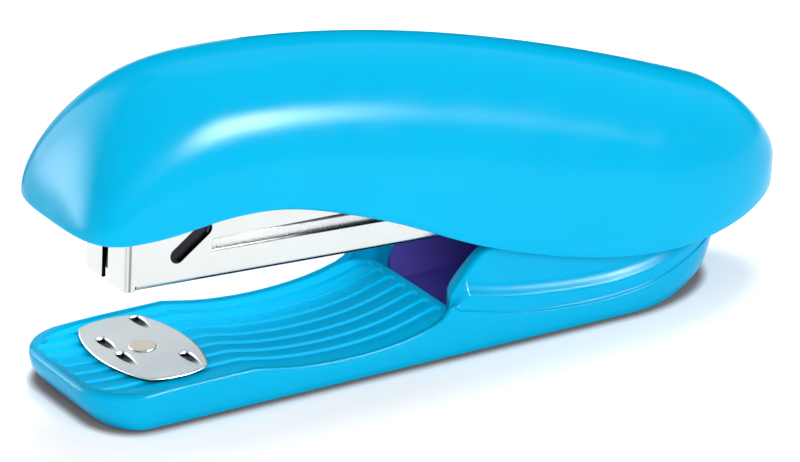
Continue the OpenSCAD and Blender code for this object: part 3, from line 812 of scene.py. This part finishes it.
def build_anvil():
    """The bowed plate: a grid for its top, with a rolled edge, and a smaller underside."""
    across, along = 150, 230
    columns = edge_crowded(across)
    points = []
    for v in edge_crowded(along):
        for u in columns:
            x, y = anvil_point(u, v)
            edge = min((1 - abs(u)) * ANVIL_CORNER[0], (1 - abs(v)) * ANVIL_CORNER[1])
            fall = EDGE_ROLL - math.sqrt(max(EDGE_ROLL**2 - max(EDGE_ROLL - edge, 0) ** 2, 0))
            points.append((x, y, ANVIL_TOP - 0.6 * fall - leaf_depth(x, y)))
    faces = grid_faces(along + 1, across + 1)
    row = across + 1
    rim = list(range(row)) + [k * row + across for k in range(1, along + 1)]
    rim += [along * row + k for k in range(across - 1, -1, -1)]
    rim += [k * row for k in range(along - 1, 0, -1)]
    start = len(points)
    points += [(points[k][0] * UNDERCUT, points[k][1] * UNDERCUT, ANVIL_TOP - ANVIL_THICK) for k in rim]
    count = len(rim)
    for k in range(count):
        faces.append([rim[k], rim[(k + 1) % count], start + (k + 1) % count, start + k])
    faces.append([start + k for k in range(count)])
    mesh = mesh_from(points, faces)
    return add_piece("anvil", mesh, "anvil", SATIN, ["anvil_plate"], sharp=50)


def build_rivet():
    """Flat rivet head with a turned edge and a faint dish, on its stem."""
    low, top = (corner.z for corner in node_box("anvil_rivet"))
    stem = 1.5
    head = 2.5
    profile = [(0, low), (stem - 0.15, low), (stem, low + 0.15), (stem, ANVIL_TOP)]
    profile += [(head - 0.3, ANVIL_TOP + 0.01), (head, ANVIL_TOP + 0.1), (head - 0.03, ANVIL_TOP + 0.17)]
    profile += [(head - 0.12, top - 0.02)]
    profile += [(head - 0.3, top), (head - 0.5, top - 0.015), (1.2, top - 0.04), (0, top - 0.05)]
    mesh = turned_solid(profile)
    return add_piece("rivet", mesh, "anvil", NICKEL, ["anvil_rivet"], sharp=60)


# ---- magazine ---------------------------------------------------------------

CHANNEL_FRONT = -110.2
CHANNEL_REAR = 4.5
CHANNEL_FLOOR = -3.3
CHANNEL_HEIGHT = 12.5
SHEET = 0.8
FLOOR_BEND = 0.9
NOSE_BEND = 1.3
RAIL_FRONT = CHANNEL_FRONT + 1.85
RAIL_REAR = -6.2
SLIT_HALF = 1.0
SLOT_LOW = (-100.1, 2.1)
SLOT_HIGH = (-94.8, 6.3)
SLOT_RADIUS = 1.37
WINDOW_FRONT = -93.3
WINDOW_REAR = -48
WINDOW_LOW = 1.9
WINDOW_CORNER = 0.2
PIN_HOLE = 2.05
RIVET_HOLE = 0.6
EDGE_SOFT = 0.12
BEND_FROM = MAGAZINE_HALF - FLOOR_BEND
SIDE_FROM = BEND_FROM + FLOOR_BEND * math.pi / 2
NOSE_FROM = CHANNEL_FRONT + NOSE_BEND
FLAP_FROM = NOSE_FROM - NOSE_BEND * math.pi / 2
NOTCH = NOSE_FROM + 0.7
FLAP_END = FLAP_FROM - (MAGAZINE_HALF - NOSE_BEND - SLIT_HALF)


def up_side(z):
    """Distance across the flat sheet, from its middle, of height z on the side."""
    return SIDE_FROM + z - (CHANNEL_FLOOR + FLOOR_BEND)


def circle(centre, radius, steps, start=0, turn=360):
    """Points round a circle, or round the part of it that begins at start, angles in degrees."""
    points = []
    for k in range(steps):
        a = math.radians(start + turn * k / steps)
        points.append((centre[0] + radius * math.cos(a), centre[1] + radius * math.sin(a)))
    return points


def sheet_outline():
    """Flat outline of the channel before folding, in (along, across)."""
    top = up_side(CHANNEL_FLOOR + CHANNEL_HEIGHT)
    saw = 0.06
    foot = SIDE_FROM - FLOOR_BEND
    floor_front = RAIL_FRONT + 1.4
    half = [
        (floor_front, 0),
        (floor_front, BEND_FROM),
        (NOTCH + saw, BEND_FROM + 0.2),
        (NOTCH + saw, SIDE_FROM),
        (NOTCH - saw, SIDE_FROM),
        (NOTCH - saw, foot),
        (NOSE_FROM, foot),
        (FLAP_END, foot),
        (FLAP_END, top),
        (-6, top),
        (4, up_side(4.5)),
        (CHANNEL_REAR, up_side(4)),
        (CHANNEL_REAR, BEND_FROM + 0.9),
        (RAIL_REAR, BEND_FROM + 0.9),
        (RAIL_REAR, 0),
    ]
    return half[1:-1] + [(a, -s) for a, s in half[-2:0:-1]]


def side_holes():
    """Slanted slot, sight window, rivet holes and pin hole, on the right side of the sheet."""
    low = (SLOT_LOW[0], up_side(SLOT_LOW[1]))
    high = (SLOT_HIGH[0], up_side(SLOT_HIGH[1]))
    angle = math.degrees(math.atan2(high[1] - low[1], high[0] - low[0]))
    slot = circle(low, SLOT_RADIUS, 20, angle + 90, 180) + circle(high, SLOT_RADIUS, 20, angle - 90, 180)
    corners = [(WINDOW_FRONT, WINDOW_LOW), (WINDOW_REAR, WINDOW_LOW), (WINDOW_REAR, 5.1), (WINDOW_FRONT, 4.1)]
    window = []
    for (a, z), start in zip(corners, (180, 270, 0, 90)):
        along = WINDOW_CORNER if a == WINDOW_FRONT else -WINDOW_CORNER
        up = WINDOW_CORNER if z == WINDOW_LOW else -WINDOW_CORNER
        window += circle((a + along, up_side(z) + up), WINDOW_CORNER, 4, start, 90)
    rivets = [circle((-10, up_side(z)), RIVET_HOLE, 20) for z in (-1.7, 1.7)]
    return [slot, window, circle((0, up_side(0)), PIN_HOLE, 48), *rivets]


def cut_sheet(loops):
    """A plate cut from sheet, with softened edges, as a mesh in the XY plane."""
    curve = bpy.data.curves.new("sheet", "CURVE")
    curve.dimensions = "2D"
    curve.fill_mode = "BOTH"
    curve.extrude = SHEET / 2 - EDGE_SOFT
    curve.bevel_depth = EDGE_SOFT
    curve.bevel_resolution = 2
    curve.offset = -EDGE_SOFT
    for loop in loops:
        spline = curve.splines.new("POLY")
        spline.points.add(len(loop) - 1)
        for point, (x, y) in zip(spline.points, loop):
            point.co = (x, y, 0, 1)
        spline.use_cyclic_u = True
    holder = bpy.data.objects.new("sheet", curve)
    bpy.context.scene.collection.objects.link(holder)
    bpy.context.view_layer.update()
    shaped = holder.evaluated_get(bpy.context.evaluated_depsgraph_get())
    mesh = bpy.data.meshes.new_from_object(shaped)
    bpy.data.objects.remove(holder)
    return mesh


def split_at(work, axis, places):
    """Cuts a mesh along planes, so that it can be bent there."""
    for place in places:
        spot = [0, 0, 0]
        normal = [0, 0, 0]
        spot[axis] = place
        normal[axis] = 1
        geometry = work.verts[:] + work.edges[:] + work.faces[:]
        bmesh.ops.bisect_plane(work, geom=geometry, plane_co=spot, plane_no=normal)


def fold_channel(point):
    """Folds a point of the flat sheet into the channel; its z is the depth below the face."""
    along, across, n = point
    sign = 1 if across >= 0 else -1
    s = abs(across)
    flap = along < NOTCH
    if s > SIDE_FROM or flap:
        y = MAGAZINE_HALF - n
        z = CHANNEL_FLOOR + FLOOR_BEND + s - SIDE_FROM
    elif s > BEND_FROM:
        a = (s - BEND_FROM) / FLOOR_BEND
        y = BEND_FROM + (FLOOR_BEND - n) * math.sin(a)
        z = CHANNEL_FLOOR + FLOOR_BEND - (FLOOR_BEND - n) * math.cos(a)
    else:
        y = s
        z = CHANNEL_FLOOR + n
    x = along
    if along < NOSE_FROM:
        a = min((NOSE_FROM - along) / NOSE_BEND, math.pi / 2)
        x = NOSE_FROM - (NOSE_BEND - n) * math.sin(a)
        y = MAGAZINE_HALF - NOSE_BEND + (NOSE_BEND - n) * math.cos(a) - max(FLAP_FROM - along, 0)
    return Vector((x, sign * y, z))


def build_magazine():
    """Cuts the flat sheet, marks its cut edges for the plate's painted shade, and folds it up at the floor
    and round the nose.
    """
    loops = [sheet_outline()]
    for hole in side_holes():
        loops.append(hole[::-1])
        loops.append([(a, -s) for a, s in hole])
    mesh = cut_sheet(loops)
    work = bmesh.new()
    work.from_mesh(mesh)
    bmesh.ops.remove_doubles(work, verts=work.verts, dist=1e-4)
    # Marks the cut edges, which the bright plate paints with a painted shade.
    cut = work.faces.layers.float.new("cut")
    work.normal_update()
    flat = 0.8
    for face in work.faces:
        face[cut] = 1.0 if abs(face.normal.z) < flat else 0.0
    for sign in (-1, 1):
        split_at(work, 1, [sign * mix(BEND_FROM, SIDE_FROM, k / 8) for k in range(9)])
    split_at(work, 0, [mix(NOSE_FROM, FLAP_FROM, k / 10) for k in range(11)])
    for vert in work.verts:
        vert.co = fold_channel((vert.co.x, vert.co.y, SHEET / 2 + vert.co.z))
    work.to_mesh(mesh)
    work.free()
    piece = add_piece("magazine", mesh, "magazine", BRIGHT, ["magazine_channel"],
                      WITH_MAGAZINE, 13)
    piece.modifiers.new("flat_faces", "WEIGHTED_NORMAL").keep_sharp = True
    return piece


# ---- staples ----------------------------------------------------------------

WIRE_WIDE = 0.7
WIRE_HIGH = 0.5
RAIL_TOP = 3.35
STAPLES = 100
STRIP_LENGTH = 50


def one_staple(front, length):
    """Points and section size of one staple: a flat wire bent over the rail, with rounded corners."""
    corner = 0.45
    crown = RAIL_TOP + 0.05 + WIRE_HIGH
    foot = CHANNEL_FLOOR + SHEET + 0.1
    outside = [(-STRIP_HALF, foot)]
    outside += [(p[0], p[1]) for p in circle((-STRIP_HALF + corner, crown - corner), corner, 5, 180, -90)]
    outside += [(-STRIP_HALF + corner, crown)]
    outside += [(-x, z) for x, z in outside[::-1]]
    inside_half = STRIP_HALF - WIRE_WIDE
    inside = [(inside_half, foot), (inside_half, crown - WIRE_HIGH - 0.1),
              (inside_half - 0.1, crown - WIRE_HIGH)]
    inside += [(-y, z) for y, z in inside[::-1]]
    loop = outside + inside
    soft = 0.015
    rear = front + length
    points = []
    for x, shrink in ((front, soft), (front + soft, 0), (rear - soft, 0), (rear, soft)):
        for y, z in loop[:len(outside)]:
            points.append((x, y - math.copysign(shrink, y), z - (shrink if z > crown - corner else 0)))
        for y, z in loop[len(outside):]:
            points.append((x, y, z))
    return points, len(loop)


def build_staples():
    """The strip: staples side by side, with a hair's breadth between them."""
    pitch = STRIP_LENGTH / STAPLES
    meshes = []
    for k in range(STAPLES):
        points, size = one_staple(RAIL_FRONT + k * pitch, pitch * 0.998)
        faces = grid_faces(4, size, wrap_columns=True)
        faces += [list(range(size)), [3 * size + i for i in range(size)]]
        meshes.append(mesh_from(points, faces))
    return add_piece("staples", joined(meshes), "magazine", STAPLE, ["staple_strip"],
                     WITH_MAGAZINE, 25)


# ---- springs ----------------------------------------------------------------


def coil_path(radius, wire, height, turns):
    """Centre line of a spring along Z, with a flattened turn at each end."""
    steps = int(turns * 28)
    path = []
    for i in range(steps + 1):
        t = i / steps
        rise = mix(wire, height - wire, smoothstep(-0.02, 1.02, t) * 0.15 + t * 0.85)
        a = 2 * math.pi * turns * t
        path.append(Vector((radius * math.cos(a), radius * math.sin(a), rise)))
    return path


def build_lift_spring():
    """The spring that holds the magazine up."""
    radius = 3.5
    wire = 0.45
    low, high = node_box("lift_spring")
    centre = middle("lift_spring")
    mesh = tube(coil_path(radius, wire, high.z - low.z, 6), wire)
    place = IN_PLACE @ Matrix.Translation((centre.x - ORIGIN_X, 0, low.z))
    spring = add_piece("lift_coil", mesh, "base", WIRE, ["lift_spring"], place, 60)
    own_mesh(spring)
    return spring


def build_pusher_spring():
    """The spring on the guide rod."""
    radius = 1.9
    wire = 0.25
    front = -50
    length = 36.6
    mesh = tube(coil_path(radius, wire, length, 15), wire, 8)
    place = WITH_MAGAZINE @ Matrix.Translation((front, 0, 0)) @ Matrix.Rotation(math.pi / 2, 4, "Y")
    spring = add_piece("feed_coil", mesh, "magazine", WIRE, ["pusher_spring"], place, 60)
    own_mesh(spring)
    return spring


def build_press_spring():
    """Torsion spring round the pin: its coil and lower arm rest on the rail, its upper one on the cover."""
    radius = 2.6
    wire = 0.45
    length = 9
    coil = [Vector((p.x, p.z - length / 2, p.y)) for p in coil_path(radius, wire, length, 6)]

    def arm(y, angle, reach):
        a = math.radians(angle)
        start = Vector((radius * math.sin(a), y, radius * math.cos(a)))
        tip = start + Vector((-math.cos(a), 0, math.sin(a))) * reach
        return tube([start.lerp(tip, k / 12) for k in range(13)], wire)

    rest = joined([tube(coil, wire), arm(wire - length / 2, 12, 9)])
    add_piece("press_coil", rest, "magazine", WIRE, (), WITH_MAGAZINE, 60)
    return add_piece("press_arm", arm(length / 2 - wire, 24, 20), "cover", WIRE,
                     ["press_spring"], WITH_MAGAZINE, 60)


# ---- CAD nodes that stay ----------------------------------------------------


def dress(node, material, soft=0.12):
    """Keeps a CAD node, with softened edges and a better material."""
    piece = nodes[node]
    piece.data.materials.clear()
    piece.data.materials.append(material)
    weld = piece.modifiers.new("weld", "WELD")
    weld.merge_threshold = 1e-6
    bevel = piece.modifiers.new("soften", "BEVEL")
    bevel.width = soft * MM
    bevel.segments = 2
    bevel.limit_method = "ANGLE"
    bevel.angle_limit = math.radians(35)
    bevel.harden_normals = True


def dress_frame():
    """Gives each CAD node that stays its material."""
    dress("rubber_sole", RUBBER, 0.3)
    # The liner's dark indigo is painted shade for the inside of the well.
    dress("base_liner", INDIGO_PAINTED_SHADE, 0.2)
    dress("pusher", BLACK, 0.25)
    dress("screw_posts", BLUE, 0.15)
    for node in ("hinge_bracket", "bracket_screws", "hinge_pin", "anvil_retainer", "guide_rod",
                 "rail_rivets", "cover_frame", "blade_rivets", "cover_screws"):
        dress(node, ZINC)
    for node in ("pin_clip", "staple_rail", "nose_liner", "rod_seat", "driver_blade"):
        dress(node, BLUED, 0.06)
    dress("anvil_spring", WIRE, 0.05)


# ---- floor, light and camera ------------------------------------------------


def build_floor():
    """A plain pale floor with a painted contact shadow: ambient occlusion darkens it in the narrow gap under
    the edge of the object.
    """
    half = 3.0
    gap = 0.003
    points = [(-half, -half, 0), (half, -half, 0), (half, half, 0), (-half, half, 0)]
    mesh = mesh_from(points, [[0, 1, 2, 3]])
    floor = bpy.data.objects.new("floor", mesh)
    bpy.context.scene.collection.objects.link(floor)
    n = Nodes("pale_floor")
    paper = n.clouds(0.4, 2, (0.93, 0.93, 0.93), (0.9, 0.9, 0.9))
    # Painted contact shadow: the occlusion darkens the paper, and its faint glow, near the object.
    shade = n.tree.nodes.new("ShaderNodeAmbientOcclusion")
    shade.inputs["Distance"].default_value = gap
    paper_with_painted_shadow = n.blend(n.levels(shade.outputs["AO"], 0, 1, 0.5, 0.95), (0.17, 0.14, 0.14), paper)
    n.colour(paper_with_painted_shadow)
    n.link(paper_with_painted_shadow, n.shader.inputs["Emission Color"])
    n.set(Roughness=0.9, Emission_Strength=0.24)
    mesh.materials.append(n.material)


def direction(azimuth, elevation):
    """Unit vector in degrees: azimuth 0 is toward -Y, and 90 is toward +X."""
    a = math.radians(azimuth)
    e = math.radians(elevation)
    return Vector((math.cos(e) * math.sin(a), -math.cos(e) * math.cos(a), math.sin(e)))


def stage_mesh(name, mesh, material):
    """A part of the studio that only shows in reflections."""
    part = bpy.data.objects.new(name, mesh)
    bpy.context.scene.collection.objects.link(part)
    mesh.materials.append(material)
    part.visible_camera = False
    part.visible_diffuse = False
    part.visible_shadow = False


def add_screen(name, rows, levels, specular=0.0):
    """A screen seen only in reflections: rows of points, and how strongly each point glows."""
    mesh = bpy.data.meshes.new(name)
    mesh.from_pydata([p for row in rows for p in row], [], grid_faces(len(rows), len(rows[0])))
    glow = mesh.attributes.new("glow", "FLOAT", "POINT")
    for item, level in zip(glow.data, levels):
        item.value = level
    n = Nodes(name)
    source = n.tree.nodes.new("ShaderNodeAttribute")
    source.attribute_name = "glow"
    n.link(source.outputs["Fac"], n.shader.inputs["Emission Strength"])
    n.set(Base_Color=(0, 0, 0, 1), Emission_Color=(1, 1, 1, 1), Specular_IOR_Level=specular)
    stage_mesh(name, mesh, n.material)


def add_card(name, reach, azimuths, elevations, glow):
    """A curved card round the object whose glow is a function of azimuth and elevation."""
    steps = 24
    spots = [[(mix(*azimuths, i / steps), mix(*elevations, j / steps)) for j in range(steps + 1)]
             for i in range(steps + 1)]
    rows = [[direction(*spot) * reach for spot in row] for row in spots]
    add_screen(name, rows, [glow(*spot) for row in spots for spot in row], 0.5)


def bell(value):
    """A smooth hump: 1 at 0, and 0 from -1 down and from 1 up."""
    return (1 - clamp(value, -1, 1) ** 2) ** 2


def softbox_glow(azimuth, elevation):
    """A long softbox in front on the right, fading toward its far end."""
    middle_line = 30 - 0.024 * (azimuth - 29) ** 2
    along = smoothstep(13, 23, azimuth) * (1 - smoothstep(27, 47, azimuth))
    return 140 * along * bell((elevation - middle_line) / 11)


def side_glow(azimuth, elevation):
    """A reflector standing on the table on the left: a bright upright strip in a wide soft one."""
    strip = 13 * bell((azimuth + 135) / 17) * (1 - smoothstep(5, 32, elevation))
    return strip + 5.5 * bell((azimuth + 147) / 34) * (1 - smoothstep(20, 58, elevation))


def nose_glow(azimuth):
    """The table in front of the magazine's nose, with the two dark bands that its bend mirrors."""
    return 1.45 - 1.15 * bell((azimuth + 4) / 27) - 0.9 * bell((azimuth + 74) / 11)


def add_screens():
    """Small screens close to the metal parts: a fan before the nose, a strip behind the anvil, a dark one."""
    nose = Vector((ORIGIN_X + NOSE_X, 0, 0.4)) * MM
    fan = [-95 + k for k in range(120)]
    rows = [[nose + direction(azimuth, 0) * reach for azimuth in fan] for reach in (0.03, 0.14)]
    add_screen("nose_fan", rows, [nose_glow(azimuth) for azimuth in fan] * 2)
    behind = 60
    wide = (ORIGIN_X - 12, ORIGIN_X + 52)
    rows = [[Vector((x, behind, z)) * MM for x in wide] for z in (16, 58)]
    add_screen("anvil_strip", rows, [0.72] * 4)
    wide = (ORIGIN_X + 12, ORIGIN_X + 54)
    rows = [[Vector((x, y, 9.6)) * MM for x in wide] for y in (-16, -5)]
    add_screen("floor_bend_flag", rows, [0.0] * 4)


def add_flag():
    """A dark sloping cloth behind the object, which keeps the cover's upper edge deep."""
    wide = 1.5
    near = (0.14, 0.001)
    far = (0.42, 0.34)
    left = -0.09
    mesh = mesh_from([(left, *near), (wide, *near), (wide, *far), (left, *far)], [[0, 1, 2, 3]])
    n = Nodes("flag_cloth")
    n.set(Base_Color=(0, 0, 0, 1), Specular_IOR_Level=0.0, Roughness=1.0)
    stage_mesh("flag", mesh, n.material)


def add_light(name, azimuth, elevation, distance, size, power):
    """A large soft light aimed at the object, which adds no reflection of its own."""
    light = bpy.data.lights.new(name, "AREA")
    light.shape = "RECTANGLE"
    light.size, light.size_y = size
    light.energy = power
    lamp = bpy.data.objects.new(name, light)
    lamp.location = direction(azimuth, elevation) * distance
    lamp.rotation_euler = direction(azimuth, elevation).to_track_quat("Z", "Y").to_euler()
    lamp.visible_glossy = False
    lamp.visible_camera = False
    bpy.context.scene.collection.objects.link(lamp)


def add_lights():
    """A white surround, lit from the front and from above behind, with what the surfaces reflect."""
    add_card("softbox", 4.0, (12, 50), (10, 44), softbox_glow)
    add_card("side_card", 0.6, (-186, -112), (0.2, 58), side_glow)
    add_flag()
    add_screens()
    add_light("front", -18, 27, 1.5, (1.0, 0.7), 12.5)
    add_light("top", 140, 57, 1.6, (0.7, 0.5), 17)
    world = bpy.data.worlds.new("studio")
    world.use_nodes = True
    world.node_tree.nodes["Background"].inputs["Color"].default_value = (1, 1, 1, 1)
    world.node_tree.nodes["Background"].inputs["Strength"].default_value = 0.55
    bpy.context.scene.world = world
    bpy.context.scene.view_settings.view_transform = "Standard"


CAMERA_PLACE = (-0.46265, -0.7685, 0.3875)
CAMERA_AZIMUTH = -30.82
CAMERA_ELEVATION = 22.416
CAMERA_LENS = 243
CAMERA_SENSOR = 36


def add_camera():
    """A long lens, at the photograph's viewing angle."""
    data = bpy.data.cameras.new("camera")
    data.lens = CAMERA_LENS
    data.sensor_width = CAMERA_SENSOR
    camera = bpy.data.objects.new("camera", data)
    camera.location = CAMERA_PLACE
    camera.rotation_euler = (math.radians(90 - CAMERA_ELEVATION), 0, math.radians(CAMERA_AZIMUTH))
    bpy.context.scene.collection.objects.link(camera)
    bpy.context.scene.camera = camera


# ---- build ------------------------------------------------------------------

build_base()
build_anvil()
build_rivet()
build_magazine()
build_staples()
build_cover()
build_lift_spring()
build_pusher_spring()
build_press_spring()
dress_frame()
build_floor()
add_lights()
add_camera()
